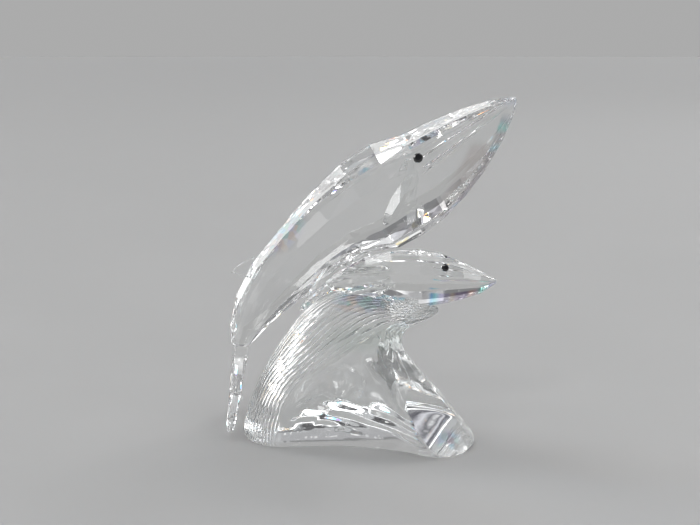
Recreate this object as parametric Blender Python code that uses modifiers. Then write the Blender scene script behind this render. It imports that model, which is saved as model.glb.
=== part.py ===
"""Crystal figurine: a whale mother and her calf leaping over a cast wave.

The facet-cut bodies, fins and tail flukes are separate pieces of clear crystal, bonded to each other and to
the wave. The eyes are small cut black stones in drilled recesses. X runs from the tails to the snouts, Y from
the calf's side to the mother's side, and Z is up. The origin is on the flat underside of the wave.
"""

import math

import bmesh
import bpy
import numpy as np
from mathutils import Matrix, Vector
from mathutils.bvhtree import BVHTree

MM = 0.001
WELD = 0.005 * MM

CRYSTAL_IOR = 1.56

# Bond lines
BOND_GAP = 0.3 * MM
EYE_FIT = 0.2 * MM

# Where each whale's mid plane lies across the figurine
MOTHER_Y = 12.0 * MM
CALF_Y = -11.0 * MM

# Facet edges of a body's ring from its back to its belly: share of the half height, share of the half width
MOTHER_SECTION = (
    (1.0, 0.16), (0.8, 0.6), (0.62, 0.8), (0.3, 1.0), (-0.36, 0.98), (-0.62, 0.8), (-0.85, 0.52), (-1.0, 0.16),
)
CALF_SECTION = ((1.0, 0.18), (0.74, 0.66), (0.28, 1.0), (-0.26, 0.98), (-0.66, 0.7), (-1.0, 0.2))
FACET_FLATTEN_STEPS = 80
FACET_FLATTEN_SHARE = 0.5

# Rings of a body from the tail joint to the snout, in millimetres: back (x, z), belly (x, z), half width
MOTHER_RINGS = (
    ((-53.5, 38.3), (-44.9, 38.3), 3.8),
    ((-53.8, 47.0), (-37.6, 46.0), 5.8),
    ((-50.8, 60.8), (-28.0, 54.6), 8.4),
    ((-43.2, 75.8), (-17.4, 63.6), 11.0),
    ((-31.6, 90.3), (-5.0, 74.6), 12.9),
    ((-18.6, 105.6), (8.2, 80.8), 14.2),
    ((-4.8, 119.4), (21.6, 83.0), 14.8),
    ((8.4, 128.2), (32.6, 89.2), 14.8),
    ((22.6, 132.4), (42.0, 96.8), 14.0),
    ((36.2, 138.9), (50.8, 106.4), 12.2),
    ((48.8, 143.8), (58.8, 117.2), 9.6),
    ((59.6, 147.0), (66.0, 129.8), 6.4),
    ((67.2, 148.3), (70.3, 140.2), 3.2),
    ((71.0, 148.4), (71.8, 145.8), 1.4),
)
CALF_RINGS = (
    ((-10.4, 72.4), (-6.6, 68.4), 2.4),
    ((-3.4, 77.7), (-0.4, 67.7), 4.3),
    ((6.0, 82.5), (9.4, 66.0), 6.9),
    ((17.0, 85.4), (20.2, 63.6), 8.6),
    ((28.6, 86.1), (30.6, 62.0), 9.0),
    ((38.4, 84.5), (39.6, 63.2), 7.9),
    ((47.2, 81.0), (47.8, 65.2), 5.8),
    ((55.0, 77.1), (55.2, 67.4), 3.5),
    ((61.7, 73.5), (61.7, 71.7), 0.9),
)

# Eye stones: radius, place along X and rise above the belly
MOTHER_EYE = {"radius": 2.1 * MM, "x": 28.8 * MM, "rise": 36.55 * MM}
CALF_EYE = {"radius": 1.6 * MM, "x": 39.6 * MM, "rise": 16.5 * MM}
EYE_STONE_SIDES = 10

# Engraved mouth lines, in millimetres
MOTHER_MOUTH = ((31.0, 117.0), (43.0, 126.2), (54.5, 135.2), (64.0, 142.4), (72.5, 148.6))
CALF_MOUTH = ((34.4, 75.4), (38.5, 74.7), (47.9, 74.5), (55.0, 73.4), (62.5, 72.8))
MOUTH_LINE_RADIUS = 0.45 * MM

# Pectoral fins: root's place along X and its rise above the belly, length, width, thickness on the ridge,
# tilt below the horizontal towards the tail, and splay away from the body
MOTHER_PECTORAL = {
    "root_x": 26.4 * MM, "root_rise": 29.2 * MM, "length": 23.0 * MM, "width": 7.0 * MM, "thick": 3.0 * MM,
    "tilt": 57.0, "far_tilt": 84.0, "splay": 17.0,
}
CALF_PECTORAL = {
    "root_x": 17.0 * MM, "root_rise": 9.4 * MM, "length": 19.5 * MM, "width": 4.8 * MM, "thick": 2.0 * MM,
    "tilt": 9.0, "far_tilt": 14.0, "splay": 15.0,
}
# Rings of a pectoral fin from its root: share of the length, lower edge, ridge and upper edge as shares of
# the width, share of the thickness
PECTORAL_RINGS = (
    (-0.09, -0.36, 0.02, 0.40, 1.0),
    (0.18, -0.46, 0.04, 0.47, 1.0),
    (0.5, -0.5, 0.06, 0.47, 0.88),
    (0.8, -0.36, 0.05, 0.35, 0.62),
    (0.94, -0.19, 0.03, 0.22, 0.4),
    (1.0, -0.05, 0.03, 0.1, 0.24),
)
PECTORAL_RIM_SHARE = 0.22
# Dorsal fins: outline (x, z) in millimetres, root corners inside the back
MOTHER_DORSAL = ((-53.0, 71.3), (-49.6, 74.6), (-42.6, 78.5), (-38.0, 74.0), (-42.0, 66.5), (-47.0, 69.2))
CALF_DORSAL = ((-1.7, 84.7), (2.2, 84.9), (8.4, 84.6), (9.0, 80.0), (5.0, 78.0), (0.9, 80.5), (0.8, 82.6))
DORSAL_THICK = 1.8 * MM
DORSAL_CHAMFER_SHARE = 0.36

# Tail flukes: direction below the horizontal, overall length, half span, root half width, root thickness,
# tip thickness as a share of it
MOTHER_FLUKES = {
    "angle": 96.0, "length": 34.5 * MM, "half_span": 20.0 * MM, "root": 3.8 * MM, "thick": 7.4 * MM,
    "tip_share": 0.5,
}
CALF_FLUKES = {
    "angle": 147.0, "length": 14.5 * MM, "half_span": 9.0 * MM, "root": 2.2 * MM, "thick": 4.2 * MM,
    "tip_share": 0.45,
}
FLUKE_CHAMFER_SHARE = 0.17

# Wave stations from the underside to the lip, in millimetres: back (x, z) and hollow side (x, z) of the
# section, share and y of the rolled front edge, y of the hollow, share and y of the foot, y of the rear,
# y shift
WAVE_STATIONS = (
    ((-46.4, 0.0), (53.0, 0.0), 0.16, 16.0, 14.8, 0.82, 28.0, 25.4, 0.0),
    ((-47.3, 3.4), (54.2, 3.2), 0.16, 16.8, 15.4, 0.82, 29.2, 26.4, 0.0),
    ((-46.2, 9.6), (49.8, 8.8), 0.17, 16.6, 15.2, 0.80, 27.4, 26.0, 0.0),
    ((-44.4, 15.4), (44.8, 15.2), 0.185, 16.6, 12.4, 0.79, 24.4, 25.0, 0.0),
    ((-41.8, 21.8), (39.6, 21.4), 0.2, 17.0, 6.6, 0.78, 20.4, 23.6, 0.0),
    ((-38.0, 30.2), (32.0, 29.4), 0.26, 17.6, 4.4, 0.80, 14.4, 21.8, 0.0),
    ((-33.0, 38.6), (26.6, 35.8), 0.37, 18.0, 4.0, 0.84, 10.2, 20.6, 0.0),
    ((-27.0, 47.6), (23.4, 40.6), 0.5, 18.0, 5.0, 0.88, 8.0, 20.0, 0.0),
    ((-19.6, 56.6), (22.7, 44.2), 0.62, 17.0, 7.0, 0.9, 6.6, 19.4, 0.0),
    ((-11.0, 62.8), (23.4, 47.2), 0.68, 15.4, 7.8, 0.92, 5.6, 18.2, 0.0),
    ((-1.4, 66.0), (25.0, 49.8), 0.72, 13.2, 7.4, 0.93, 4.8, 16.4, -1.0),
    ((9.4, 66.2), (27.4, 51.6), 0.74, 11.0, 6.6, 0.93, 4.0, 14.0, -2.6),
    ((19.6, 64.2), (30.2, 53.2), 0.74, 8.4, 5.4, 0.93, 3.2, 11.0, -4.6),
    ((29.4, 61.9), (33.6, 55.2), 0.72, 5.6, 3.8, 0.92, 2.2, 7.0, -6.4),
    ((37.8, 60.4), (37.4, 58.0), 0.7, 2.2, 1.6, 0.9, 1.0, 2.4, -7.6),
)
BAND_TURNS = (0, 18, 36, 54, 72, 90)
REAR_SHARES = ((0.955, 0.42), (0.83, 0.8), (0.62, 1.0), (0.4, 1.0), (0.21, 0.88), (0.085, 0.62), (0.02, 0.32))
WAVE_ROWS_PER_STATION = 3
STEPS_PER_RIB = 2
RIBS_PER_SIDE = 14
RIB_DEPTH_SHARE = 0.3
RIB_DEPTH_MOST = 0.6 * MM
RIBBED_SHARE = 0.25
SMOOTH_UNDER_DEGREES = 32
PLAIN_STEPS_PER_SIDE = 12

# Boss on the rear of the crest that carries the mother: height, centre x, centre y, half length, half depth
BOSS_RINGS = (
    (48.0, -6.0, 7.0, 15.0, 10.0),
    (55.0, -8.0, 9.0, 12.5, 9.0),
    (61.0, -9.4, 10.6, 10.0, 8.0),
    (67.0, -9.6, 11.6, 8.0, 7.0),
    (75.0, -7.5, 12.0, 6.5, 6.0),
)
BOSS_SIDES = 24
# Oval window ground on the foot by a large wheel: deepest point, outward direction, direction along the oval
WINDOW_DEEPEST = (36.7 * MM, -20.1 * MM, 12.4 * MM)
WINDOW_NORMAL = (0.431, -0.699, 0.57)
WINDOW_ALONG = (0.822, 0.044, -0.568)
WHEEL_RADIUS = 900.0 * MM
WHEEL_HALF_TRACK = 19.0 * MM
WHEEL_HALF_WIDTH = 16.0 * MM
WHEEL_LIFT = 9.0 * MM
WHEEL_STEPS = 12


def clear_scene():
    for obj in list(bpy.data.objects):
        bpy.data.objects.remove(obj)


def new_collection(name):
    made = bpy.data.collections.new(name)
    bpy.context.scene.collection.children.link(made)
    return made


def crystal_material(name, colour, roughness, transmission):
    """Principled BSDF of clear lead crystal or of a black stone."""
    material = bpy.data.materials.new(name)
    material.use_nodes = True
    shader = material.node_tree.nodes["Principled BSDF"]
    shader.inputs["Base Color"].default_value = (*colour, 1.0)
    shader.inputs["Roughness"].default_value = roughness
    shader.inputs["Metallic"].default_value = 0.0
    shader.inputs["Transmission Weight"].default_value = transmission
    shader.inputs["IOR"].default_value = CRYSTAL_IOR
    return material


def add_object(name, mesh, collection, material=None):
    obj = bpy.data.objects.new(name, mesh)
    collection.objects.link(obj)
    if material:
        mesh.materials.clear()
        mesh.materials.append(material)
    return obj


def add_cutter(name, mesh):
    """A helper that only cuts: it is never part of the figurine."""
    obj = add_object(name, mesh, CUTTERS)
    obj.hide_render = True
    obj.display_type = "WIRE"
    return obj


def apply_boolean(obj, other, operation="DIFFERENCE"):
    modifier = obj.modifiers.new(f"{operation.lower()}_{other.name}", "BOOLEAN")
    modifier.operation = operation
    modifier.object = other


def loft_mesh(name, rings):
    """Closed mesh through rings of equally many points, with a flat face on each end."""
    bm = bmesh.new()
    rows = [[bm.verts.new(point) for point in ring] for ring in rings]
    sides = len(rows[0])
    for lower, upper in zip(rows, rows[1:]):
        for i in range(sides):
            j = (i + 1) % sides
            bm.faces.new((lower[i], lower[j], upper[j], upper[i]))
    bm.faces.new(reversed(rows[0]))
    bm.faces.new(rows[-1])
    bmesh.ops.recalc_face_normals(bm, faces=bm.faces)
    mesh = bpy.data.meshes.new(name)
    bm.to_mesh(mesh)
    bm.free()
    return mesh


def flatten_facets(mesh):
    """Settles the four-sided facets of a body into flat planes, as a cutting wheel leaves them."""
    bm = bmesh.new()
    bm.from_mesh(mesh)
    facets = [face for face in bm.faces if len(face.verts) == 4]
    bmesh.ops.planar_faces(bm, faces=facets, iterations=FACET_FLATTEN_STEPS, factor=FACET_FLATTEN_SHARE)
    bm.to_mesh(mesh)
    bm.free()


def ring_points(back, belly, half_width, section, mid_y):
    """One ring of a body: facet edges hung between the back and the belly."""
    back, belly = Vector((back[0], 0, back[1])) * MM, Vector((belly[0], 0, belly[1])) * MM
    centre = (back + belly) / 2 + Vector((0, mid_y, 0))
    up = (back - belly) / 2
    across = Vector((0, half_width * MM, 0))
    one_side = [centre + up * rise + across * reach for rise, reach in section]
    other_side = [centre + up * rise - across * reach for rise, reach in reversed(section)]
    return one_side + other_side


def grown_mesh(mesh, gap):
    """Copy of a closed mesh with every face moved out by the gap, to cut the seat of a bonded joint."""
    bm = bmesh.new()
    bm.from_mesh(mesh)
    bm.normal_update()
    moved = [(v, v.co + v.normal * gap * v.calc_shell_factor()) for v in bm.verts]
    for vertex, place in moved:
        vertex.co = place
    grown = bpy.data.meshes.new(f"{mesh.name}_seat")
    bm.to_mesh(grown)
    bm.free()
    return grown


def surface_at(tree, x, z, mid_y, side):
    """Point and outward normal of a body's flank at (x, z), on the side -1 (near) or 1 (far)."""
    point, normal, _, _ = tree.ray_cast(Vector((x, mid_y + side, z)), Vector((0, -side, 0)))
    return point, normal


def belly_height(tree, x, mid_y):
    """Height of a body's belly ridge at x."""
    point, _, _, _ = tree.ray_cast(Vector((x, mid_y, 0)), Vector((0, 0, 1)))
    return point.z


def facing(point, normal):
    """Matrix that carries local +Z to the normal, with its origin at the point."""
    return Matrix.Translation(point) @ normal.to_track_quat("Z", "Y").to_matrix().to_4x4()


def turned_mesh(name, profile, sides, matrix):
    """Facet-cut stone or drill shape: a profile of (radius, height), top to bottom, turned round local Z."""
    flat = bpy.data.meshes.new(f"{name}_profile")
    points = [(r, 0, h) for r, h in profile]
    flat.from_pydata(points, [(i, i + 1) for i in range(len(points) - 1)], [])
    obj = bpy.data.objects.new(f"{name}_profile", flat)
    CUTTERS.objects.link(obj)
    screw = obj.modifiers.new("turn", "SCREW")
    screw.axis = "Z"
    screw.steps = screw.render_steps = sides
    screw.use_smooth_shade = False
    screw.use_merge_vertices = True
    screw.merge_threshold = WELD
    graph = bpy.context.evaluated_depsgraph_get()
    mesh = bpy.data.meshes.new_from_object(obj.evaluated_get(graph))
    bpy.data.objects.remove(obj)
    bm = bmesh.new()
    bm.from_mesh(mesh)
    bmesh.ops.remove_doubles(bm, verts=bm.verts, dist=WELD)
    bmesh.ops.recalc_face_normals(bm, faces=bm.faces)
    bm.transform(matrix)
    bm.to_mesh(mesh)
    bm.free()
    mesh.name = name
    return mesh


def stone_profile(radius):
    """Cut stone from its table down to its point."""
    return (
        (0.0, radius * 0.48),
        (radius * 0.62, radius * 0.48),
        (radius, radius * 0.12),
        (radius, -radius * 0.1),
        (0.0, -radius * 0.85),
    )


def drill_profile(radius):
    """Drill for a stone's recess, which clears the stone all round and runs out past the flank."""
    bore, top = radius + EYE_FIT, radius * 2
    return ((0.0, top), (bore, top), (bore, -radius * 0.1), (0.0, -radius * 0.85 - EYE_FIT * 1.6))


def set_eye(whale, side_name, side, eye):
    """Black stone in its recess on one side of the head."""
    height = belly_height(whale["tree"], eye["x"], whale["mid_y"]) + eye["rise"]
    point, normal = surface_at(whale["tree"], eye["x"], height, whale["mid_y"], side)
    place = facing(point, normal)
    name = f"{whale['name']}_eye_{side_name}"
    stone = turned_mesh(name, stone_profile(eye["radius"]), EYE_STONE_SIDES, place)
    add_object(name, stone, FIGURINE, BLACK_STONE)
    drill = turned_mesh(f"{name}_drill", drill_profile(eye["radius"]), 2 * EYE_STONE_SIDES, place)
    apply_boolean(whale["body"], add_cutter(f"{name}_drill", drill))


def engrave_mouth(whale, side_name, side, line):
    """Mouth line ground into the flank, from below the eye out past the snout."""
    curve = bpy.data.curves.new(f"{whale['name']}_mouth_{side_name}", "CURVE")
    curve.dimensions = "3D"
    curve.bevel_depth = MOUTH_LINE_RADIUS
    curve.bevel_resolution = 0
    curve.use_fill_caps = True
    spline = curve.splines.new("POLY")
    places = []
    for x, z in line:
        point, _ = surface_at(whale["tree"], x * MM, z * MM, whale["mid_y"], side)
        if point is None:
            point = Vector((x * MM, whale["mid_y"] + side * MOUTH_LINE_RADIUS * 2, z * MM))
        places.append(point)
    spline.points.add(len(places) - 1)
    for spline_point, place in zip(spline.points, places):
        spline_point.co = (*place, 1.0)
    obj = bpy.data.objects.new(curve.name, curve)
    CUTTERS.objects.link(obj)
    mesh = mesh_from(obj)
    apply_boolean(whale["body"], add_cutter(curve.name, mesh))


def mesh_from(obj):
    """Welded mesh of a curve object, which is then removed."""
    graph = bpy.context.evaluated_depsgraph_get()
    mesh = bpy.data.meshes.new_from_object(obj.evaluated_get(graph))
    bpy.data.objects.remove(obj)
    bm = bmesh.new()
    bm.from_mesh(mesh)
    bmesh.ops.remove_doubles(bm, verts=bm.verts, dist=WELD)
    bmesh.ops.recalc_face_normals(bm, faces=bm.faces)
    bm.to_mesh(mesh)
    bm.free()
    return mesh


def blade_mesh(name, outline, thick, chamfer):
    """Flat blade with chamfered rims: an outline in local XY, as thick as said along local Z."""
    curve = bpy.data.curves.new(name, "CURVE")
    curve.dimensions = "2D"
    curve.fill_mode = "BOTH"
    curve.extrude = thick / 2 - chamfer
    curve.bevel_depth = chamfer
    curve.bevel_resolution = 0
    curve.offset = -chamfer
    spline = curve.splines.new("POLY")
    spline.points.add(len(outline) - 1)
    for spline_point, (x, y) in zip(spline.points, outline):
        spline_point.co = (x, y, 0, 1)
    spline.use_cyclic_u = True
    obj = bpy.data.objects.new(name, curve)
    CUTTERS.objects.link(obj)
    mesh = mesh_from(obj)
    mesh.name = name
    return mesh


def mirrored_mesh(mesh, name, mid_y):
    """The same piece for the other side of the whale."""
    bm = bmesh.new()
    bm.from_mesh(mesh)
    for vertex in bm.verts:
        vertex.co.y = 2 * mid_y - vertex.co.y
    bmesh.ops.reverse_faces(bm, faces=bm.faces)
    twin = bpy.data.meshes.new(name)
    bm.to_mesh(twin)
    bm.free()
    return twin


def pectoral_mesh(name, size, root, tilt):
    """Paddle with a ridge along each face, on the near flank, turned tailwards and down by the tilt."""
    tilt, splay = math.radians(tilt), math.radians(size["splay"])
    along = Vector((-math.cos(tilt) * math.cos(splay), -math.sin(splay), -math.sin(tilt) * math.cos(splay)))
    outward = Vector((0, -1, 0))
    flat = (outward - along * outward.dot(along)).normalized()
    across = flat.cross(along)
    rings = []
    for share, lower, ridge, upper, thickness in PECTORAL_RINGS:
        centre = root + along * size["length"] * share
        rise = flat * size["thick"] / 2 * thickness
        one_face = [(lower, PECTORAL_RIM_SHARE), (ridge, 1.0), (upper, PECTORAL_RIM_SHARE)]
        other_face = [(place, -height) for place, height in reversed(one_face)]
        section = one_face + other_face
        rings.append([centre + across * size["width"] * place + rise * height for place, height in section])
    return loft_mesh(name, rings)


def add_pectorals(whale, size):
    """Pair of paddles bonded to the flanks."""
    root_z = belly_height(whale["tree"], size["root_x"], whale["mid_y"]) + size["root_rise"]
    root, _ = surface_at(whale["tree"], size["root_x"], root_z, whale["mid_y"], -1)
    name = f"{whale['name']}_pectoral_fin"
    near_mesh = pectoral_mesh(f"{name}_near", size, root, size["tilt"])
    far_mesh = pectoral_mesh(f"{name}_far_side", size, root, size["far_tilt"])
    far_mesh = mirrored_mesh(far_mesh, f"{name}_far", whale["mid_y"])
    for mesh in (near_mesh, far_mesh):
        fin = add_object(mesh.name, mesh, FIGURINE, CRYSTAL)
        apply_boolean(fin, whale["seat"])


def add_dorsal(whale, outline):
    """Small fin bonded on the back ridge."""
    name = f"{whale['name']}_dorsal_fin"
    points = [(x * MM, z * MM) for x, z in outline]
    mesh = blade_mesh(name, points, DORSAL_THICK, DORSAL_THICK * DORSAL_CHAMFER_SHARE)
    mesh.transform(Matrix.Translation((0, whale["mid_y"], 0)) @ Matrix.Rotation(math.radians(90), 4, "X"))
    fin = add_object(name, mesh, FIGURINE, CRYSTAL)
    apply_boolean(fin, whale["seat"])


def fluke_outline(size):
    """Whole tail fluke, from the squared root along x to the two swept tips."""
    length, span, root = size["length"], size["half_span"], size["root"]
    half = (
        (-2 * root, root),
        (length * 0.16, root),
        (length * 0.36, root + (span - root) * 0.16),
        (length * 0.58, root + (span - root) * 0.42),
        (length * 0.82, root + (span - root) * 0.78),
        (length, span),
        (length * 0.97, span * 0.8),
        (length * 0.88, span * 0.48),
        (length * 0.79, span * 0.22),
        (length * 0.72, 0.0),
    )
    return half + tuple((x, -y) for x, y in reversed(half[:-1]))


def add_flukes(whale, size):
    """Tail flukes bonded to the cut end of the tail, tapering in thickness to the tips."""
    back, belly, _ = whale["rings"][0]
    back, belly = Vector((back[0], 0, back[1])) * MM, Vector((belly[0], 0, belly[1])) * MM
    joint = (back + belly) / 2 + Vector((0, whale["mid_y"], 0))
    joint_normal = (back - belly).normalized().cross(Vector((0, 1, 0)))
    angle = math.radians(size["angle"])
    along = Vector((math.cos(angle), 0, -math.sin(angle)))
    joint_normal *= math.copysign(1.0, joint_normal.dot(along))
    across = Vector((0, 1, 0))
    matrix = Matrix((along, across, along.cross(across))).transposed().to_4x4()
    matrix.translation = joint
    name = f"{whale['name']}_flukes"
    mesh = blade_mesh(name, fluke_outline(size), size["thick"], size["thick"] * FLUKE_CHAMFER_SHARE)
    bm = bmesh.new()
    bm.from_mesh(mesh)
    for vertex in bm.verts:
        share = min(1.0, max(0.0, vertex.co.x / size["length"]))
        vertex.co.z *= 1.0 - (1.0 - size["tip_share"]) * share
    bm.transform(matrix)
    cut_point = joint + joint_normal * BOND_GAP
    everything = bm.verts[:] + bm.edges[:] + bm.faces[:]
    cut = bmesh.ops.bisect_plane(
        bm, geom=everything, plane_co=cut_point, plane_no=-joint_normal, clear_outer=True, dist=WELD
    )
    rim = [item for item in cut["geom_cut"] if isinstance(item, bmesh.types.BMEdge)]
    bmesh.ops.contextual_create(bm, geom=rim)
    bmesh.ops.recalc_face_normals(bm, faces=bm.faces)
    bm.to_mesh(mesh)
    bm.free()
    return add_object(name, mesh, FIGURINE, CRYSTAL)


def add_whale(name, rings, section, mid_y, eye, mouth, pectoral, dorsal, flukes):
    """Facet-cut body with everything that is bonded to it."""
    body_mesh = loft_mesh(f"{name}_body", [ring_points(*ring, section, mid_y) for ring in rings])
    flatten_facets(body_mesh)
    body = add_object(f"{name}_body", body_mesh, FIGURINE, CRYSTAL)
    seat = add_cutter(f"{name}_seat", grown_mesh(body_mesh, BOND_GAP))
    bm = bmesh.new()
    bm.from_mesh(body_mesh)
    tree = BVHTree.FromBMesh(bm)
    whale = {"name": name, "rings": rings, "mid_y": mid_y, "body": body, "seat": seat, "tree": tree}
    bm.free()
    for side_name, side in (("near", -1), ("far", 1)):
        engrave_mouth(whale, side_name, side, mouth)
        set_eye(whale, side_name, side, eye)
    add_pectorals(whale, pectoral)
    add_dorsal(whale, dorsal)
    whale["flukes"] = add_flukes(whale, flukes)
    return whale


def through_points(values, steps, closed):
    """Smooth curve through rows of points, as a Catmull-Rom spline read at the given steps (in rows)."""
    values = np.asarray(values, float)
    count = len(values)
    low = np.floor(steps).astype(int)
    share = (steps - low).reshape(-1, *[1] * (values.ndim - 1))

    def row(index):
        if closed:
            return values[index % count]
        inside = values[np.clip(index, 0, count - 1)]
        before = (index < 0).reshape(share.shape)
        after = (index > count - 1).reshape(share.shape)
        start = 2 * values[0] - values[1]
        end = 2 * values[-1] - values[-2]
        return np.where(before, start, np.where(after, end, inside))

    p0, p1, p2, p3 = row(low - 1), row(low), row(low + 1), row(low + 2)
    return 0.5 * (
        2 * p1
        + (p2 - p0) * share
        + (2 * p0 - 5 * p1 + 4 * p2 - p3) * share**2
        + (3 * p1 - p0 - 3 * p2 + p3) * share**3
    )


def wave_section(edge, edge_y, hollow_y, foot, foot_y, rear_y):
    """Loop of (share, y) from the back ridge past the rolled edge, the hollow and the foot to the rear."""
    turns = [math.radians(turn) for turn in BAND_TURNS]
    band = [(edge * (1 - math.cos(turn)), -edge_y * math.sin(turn)) for turn in turns]
    span = foot - edge
    hollow = [
        (edge + 0.15 * span, -0.35 * edge_y - 0.65 * hollow_y),
        (edge + 0.45 * span, -hollow_y),
        (edge + 0.8 * span, -0.55 * hollow_y - 0.45 * foot_y),
    ]
    lobe = [
        (foot, -foot_y),
        (foot + 0.58 * (1 - foot), -0.9 * foot_y),
        (foot + 0.91 * (1 - foot), -0.62 * foot_y),
        (1.0, -0.25 * foot_y),
    ]
    return band + hollow + lobe + [(share, rear_y * part) for share, part in REAR_SHARES]


def wave_cage():
    """Rows of section points from the underside of the wave to its lip."""
    cage = []
    for outer, inner, *section, shift in WAVE_STATIONS:
        outer, inner = np.array(outer), np.array(inner)
        row = []
        for share, y in wave_section(*section):
            x, z = outer + (inner - outer) * share
            row.append((x * MM, (y + shift) * MM, z * MM))
        cage.append(row)
    return np.array(cage)


def wave_loop_steps():
    """Steps round the loop, as shares from the back: close together over the ribs, wider elsewhere."""
    near = np.linspace(0, RIBBED_SHARE, RIBS_PER_SIDE * STEPS_PER_RIB + 1)
    near_plain = np.linspace(RIBBED_SHARE, 0.5, PLAIN_STEPS_PER_SIDE + 1)[1:]
    half = np.concatenate([near, near_plain])
    return np.concatenate([half, 1 - half[-2:0:-1]])


def rib_groove(shares):
    """Depth of the V grooves round the loop, from 0 on a rib's crest to 1 in a groove."""
    from_back = np.minimum(shares, 1 - shares) / RIBBED_SHARE
    phase = (from_back * RIBS_PER_SIDE) % 1.0
    groove = 1 - np.abs(2 * phase - 1)
    fade = np.clip((1.0 - from_back) * RIBS_PER_SIDE, 0, 1)
    return np.where(from_back < 1, groove * fade, 0.0)


def wave_mesh():
    """Cast wave: a smooth loft through the stations, with ribs ground along its back."""
    cage = wave_cage()
    rows = (len(cage) - 1) * WAVE_ROWS_PER_STATION
    along = np.linspace(0, len(cage) - 1, rows + 1)
    shares = wave_loop_steps()
    loop = through_points(np.swapaxes(cage, 0, 1), shares * cage.shape[1], closed=True)
    grid = through_points(np.swapaxes(loop, 0, 1), along, closed=False)
    grid[0, :, 2] = 0.0
    around = np.roll(grid, -1, axis=1) - np.roll(grid, 1, axis=1)
    normal = np.cross(around, np.gradient(grid, axis=0))
    normal /= np.linalg.norm(normal, axis=2, keepdims=True)
    from_centre = grid - grid.mean(axis=1, keepdims=True)
    outward = np.sign((from_centre * normal).sum(axis=2).mean())
    spacing = np.linalg.norm(around, axis=2)
    depth = np.minimum(spacing * RIB_DEPTH_SHARE, RIB_DEPTH_MOST) * rib_groove(shares)[None, :]
    depth *= np.clip(along, 0, 1)[:, None]
    grid = grid - normal * outward * depth[:, :, None]
    grid[0, :, 2] = 0.0
    mesh = loft_mesh("wave_base", [[Vector(p) for p in ring] for ring in grid])
    mesh.shade_smooth()
    mesh.set_sharp_from_angle(angle=math.radians(SMOOTH_UNDER_DEGREES))
    return mesh


def boss_mesh():
    """Boss under the mother: ellipses from inside the crest up into her belly."""
    rings = []
    for z, x, y, half_x, half_y in BOSS_RINGS:
        turns = [2 * math.pi * i / BOSS_SIDES for i in range(BOSS_SIDES)]
        rings.append([Vector((x + half_x * math.cos(t), y + half_y * math.sin(t), z)) * MM for t in turns])
    return loft_mesh("mother_boss", rings)


def wheel_mesh():
    """Track of the grinding wheel that leaves the slightly dished window on the foot."""
    normal, along = Vector(WINDOW_NORMAL).normalized(), Vector(WINDOW_ALONG)
    along = (along - normal * along.dot(normal)).normalized()
    across = along.cross(normal) * WHEEL_HALF_WIDTH
    reach = math.asin(WHEEL_HALF_TRACK / WHEEL_RADIUS)
    track = []
    for turn in np.linspace(-reach, reach, WHEEL_STEPS + 1):
        dish = along * math.sin(turn) + normal * (1 - math.cos(turn))
        track.append(Vector(WINDOW_DEEPEST) + dish * WHEEL_RADIUS)
    track += [track[-1] + normal * WHEEL_LIFT, track[0] + normal * WHEEL_LIFT]
    return loft_mesh("foot_window_wheel", [[point + end for point in track] for end in (across, -across)])


def add_wave(whales):
    """Wave and boss as one casting, with the seats that the whales are bonded into."""
    wave = add_object("wave_base", wave_mesh(), FIGURINE, CRYSTAL)
    apply_boolean(wave, add_cutter("mother_boss", boss_mesh()), "UNION")
    apply_boolean(wave, add_cutter("foot_window_wheel", wheel_mesh()))
    for whale in whales:
        apply_boolean(wave, whale["seat"])
        fluke_seat = add_cutter(f"{whale['name']}_fluke_seat", grown_mesh(whale["flukes"].data, BOND_GAP))
        apply_boolean(wave, fluke_seat)


clear_scene()
FIGURINE = new_collection("crystal_whale_figurine")
CUTTERS = new_collection("cutters")
CRYSTAL = crystal_material("clear_crystal", (0.97, 0.98, 0.98), 0.02, 1.0)
BLACK_STONE = crystal_material("black_stone", (0.006, 0.006, 0.008), 0.08, 0.0)

mother = add_whale(
    "mother", MOTHER_RINGS, MOTHER_SECTION, MOTHER_Y, MOTHER_EYE, MOTHER_MOUTH, MOTHER_PECTORAL,
    MOTHER_DORSAL, MOTHER_FLUKES,
)
calf = add_whale(
    "calf", CALF_RINGS, CALF_SECTION, CALF_Y, CALF_EYE, CALF_MOUTH, CALF_PECTORAL, CALF_DORSAL, CALF_FLUKES,
)
add_wave((mother, calf))
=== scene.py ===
"""Clear crystal figurine on a pale studio sweep: a whale mother and her calf leap over a wave.

The facet-cut bodies, fins, tail flukes and eye stones keep their own solids and get polished
finishes. The cast wave is made here at a finer grain: its engraved ribs, the soft folds and beads
in the hollow and the oval window ground into the foot.
"""

import math

import bmesh
import bpy
import numpy as np
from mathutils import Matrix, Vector


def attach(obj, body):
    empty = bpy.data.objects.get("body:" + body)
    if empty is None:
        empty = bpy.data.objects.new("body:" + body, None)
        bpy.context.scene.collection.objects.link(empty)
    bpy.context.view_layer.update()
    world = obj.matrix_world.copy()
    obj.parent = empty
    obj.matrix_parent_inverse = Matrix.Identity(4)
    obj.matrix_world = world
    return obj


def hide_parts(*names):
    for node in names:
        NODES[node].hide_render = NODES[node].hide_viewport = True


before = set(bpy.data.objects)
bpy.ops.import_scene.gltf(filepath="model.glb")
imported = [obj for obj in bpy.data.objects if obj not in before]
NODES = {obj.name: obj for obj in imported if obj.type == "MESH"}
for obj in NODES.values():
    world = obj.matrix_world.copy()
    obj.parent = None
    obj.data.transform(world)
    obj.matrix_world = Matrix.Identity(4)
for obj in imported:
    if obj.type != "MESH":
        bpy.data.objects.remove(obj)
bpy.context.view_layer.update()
MM = 0.001

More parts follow.
